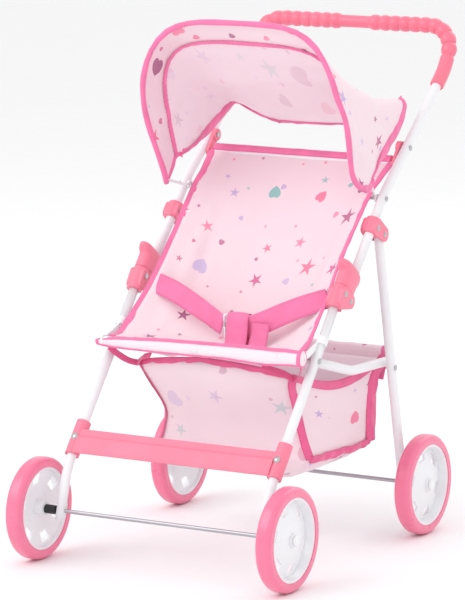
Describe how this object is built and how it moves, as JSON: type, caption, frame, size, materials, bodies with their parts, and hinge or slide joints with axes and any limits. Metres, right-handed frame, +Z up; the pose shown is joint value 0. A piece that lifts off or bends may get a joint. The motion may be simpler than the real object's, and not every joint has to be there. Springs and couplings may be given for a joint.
{
  "type": "doll stroller",
  "caption": "Folding doll stroller with a tube frame, sling seat and belt, arched hood, cloth basket, footrest, ribbed foam grip and wheels that turn on axle rods.",
  "frame": {"origin": "on the floor under the middle of the outline", "axes": "+X is the pusher's left, the front faces -Y, +Z is up"},
  "size_m": [0.3028, 0.4499, 0.5124],
  "materials": {
    "white_tube": "powder coat, semi-gloss",
    "steel_rod": "drawn wire",
    "rivet_metal": "zinc plated",
    "pink_plastic": "moulded, satin",
    "pink_foam": "foam grip",
    "tyre_pink": "hard moulded tyre, semi-gloss",
    "rim_white": "slightly translucent white",
    "white_plastic": "moulded",
    "dark_plastic": "moulded",
    "printed_cloth": "plain weave with scattered stars and hearts",
    "pink_webbing": "flat webbing"
  },
  "bodies": {
    "front_frame": {"front_leg_left": "white_tube", "front_leg_right": "white_tube", "footrest": "pink_plastic", "footrest_rivets": "rivet_metal", "front_axle": "steel_rod", "front_axle_bushes": "dark_plastic", "front_axle_caps": "white_plastic", "lower_knuckle_left": "pink_plastic", "lower_knuckle_right": "pink_plastic", "knuckle_rivets": "rivet_metal", "fold_pivot_rivets": "rivet_metal", "seat_front_bar": "white_tube", "seat_bar_clips": "white_plastic", "link_front_rivets": "rivet_metal", "seat_sling": "printed_cloth", "basket": "printed_cloth", "waist_strap_left": "pink_webbing", "waist_strap_right": "pink_webbing", "crotch_strap": "pink_webbing", "belt_ring": "white_plastic"},
    "handle_frame": {"handle_tube": "white_tube", "handle_grip": "pink_foam", "handle_end_plugs": "dark_plastic", "upper_bracket_left": "pink_plastic", "upper_bracket_right": "pink_plastic", "bracket_rivets": "rivet_metal", "leg_pivot_rivets": "rivet_metal", "seat_back_rod": "white_tube", "seat_back_tabs": "pink_plastic", "tab_rivets": "rivet_metal", "canopy_clips": "white_plastic", "canopy_pivot_pins": "rivet_metal", "canopy": "printed_cloth"},
    "canopy_front_arch": {"canopy_front_hoop": "white_tube"},
    "canopy_mid_arch": {"canopy_mid_hoop": "white_tube"},
    "lock_sleeve_left": {"lock_sleeve_left": "pink_plastic"},
    "lock_sleeve_right": {"lock_sleeve_right": "pink_plastic"},
    "rear_legs": {"rear_leg_left": "white_tube", "rear_leg_right": "white_tube", "rear_leg_plugs": "dark_plastic", "link_rear_rivets": "rivet_metal", "rear_axle": "steel_rod", "rear_axle_bushes": "dark_plastic", "rear_axle_caps": "white_plastic"},
    "basket_frame": {"basket_frame": "white_tube"},
    "front_left_wheel": {"front_left_tyre": "tyre_pink", "front_left_rim": "rim_white"},
    "front_right_wheel": {"front_right_tyre": "tyre_pink", "front_right_rim": "rim_white"},
    "rear_left_wheel": {"rear_left_tyre": "tyre_pink", "rear_left_rim": "rim_white"},
    "rear_right_wheel": {"rear_right_tyre": "tyre_pink", "rear_right_rim": "rim_white"}
  },
  "joints": [
    {"name": "fold", "type": "hinge", "parent": "front_frame", "child": "handle_frame", "pos_m": [0, -0.01605, 0.2495], "axis": [-1, 0, 0], "range_deg": [0, 120], "deforming": ["seat_sling", "basket", "waist_strap_left", "waist_strap_right"]},
    {"name": "rear_leg_swing", "type": "hinge", "parent": "handle_frame", "child": "rear_legs", "pos_m": [0, 0.05395, 0.3053], "axis": [-1, 0, 0], "range_deg": [-78, 0]},
    {"name": "basket_frame_swing", "type": "hinge", "parent": "front_frame", "child": "basket_frame", "pos_m": [0, -0.07405, 0.2005], "axis": [-1, 0, 0], "range_deg": [0, 82]},
    {"name": "lock_left_slide", "type": "slide", "parent": "handle_frame", "child": "lock_sleeve_left", "axis": [0, 0.6582, 0.7528], "range_m": [0, 0.014]},
    {"name": "lock_right_slide", "type": "slide", "parent": "handle_frame", "child": "lock_sleeve_right", "axis": [0, 0.6582, 0.7528], "range_m": [0, 0.014]},
    {"name": "hood_front_swing", "type": "hinge", "parent": "handle_frame", "child": "canopy_front_arch", "pos_m": [0, 0.06225, 0.339], "axis": [-1, 0, 0], "range_deg": [0, 50], "deforming": ["canopy"]},
    {"name": "hood_mid_swing", "type": "hinge", "parent": "handle_frame", "child": "canopy_mid_arch", "pos_m": [0, 0.06225, 0.339], "axis": [-1, 0, 0], "range_deg": [0, 45]},
    {"name": "front_left_spin", "type": "hinge", "parent": "front_frame", "child": "front_left_wheel", "pos_m": [0.1375, -0.17505, 0.05], "axis": [1, 0, 0], "continuous": true},
    {"name": "rear_left_spin", "type": "hinge", "parent": "rear_legs", "child": "rear_left_wheel", "pos_m": [0.14, 0.09795, 0.05], "axis": [1, 0, 0], "continuous": true},
    {"name": "front_right_spin", "type": "hinge", "parent": "front_frame", "child": "front_right_wheel", "pos_m": [-0.1375, -0.17505, 0.05], "axis": [1, 0, 0], "continuous": true},
    {"name": "rear_right_spin", "type": "hinge", "parent": "rear_legs", "child": "rear_right_wheel", "pos_m": [-0.14, 0.09795, 0.05], "axis": [1, 0, 0], "continuous": true}
  ],
  "couplings": [
    {"joint": "rear_leg_swing", "follows": "fold", "ratio": -0.638},
    {"joint": "basket_frame_swing", "follows": "fold", "ratio": 0.668},
    {"joint": "hood_mid_swing", "follows": "hood_front_swing", "ratio": 0.9}
  ]
}
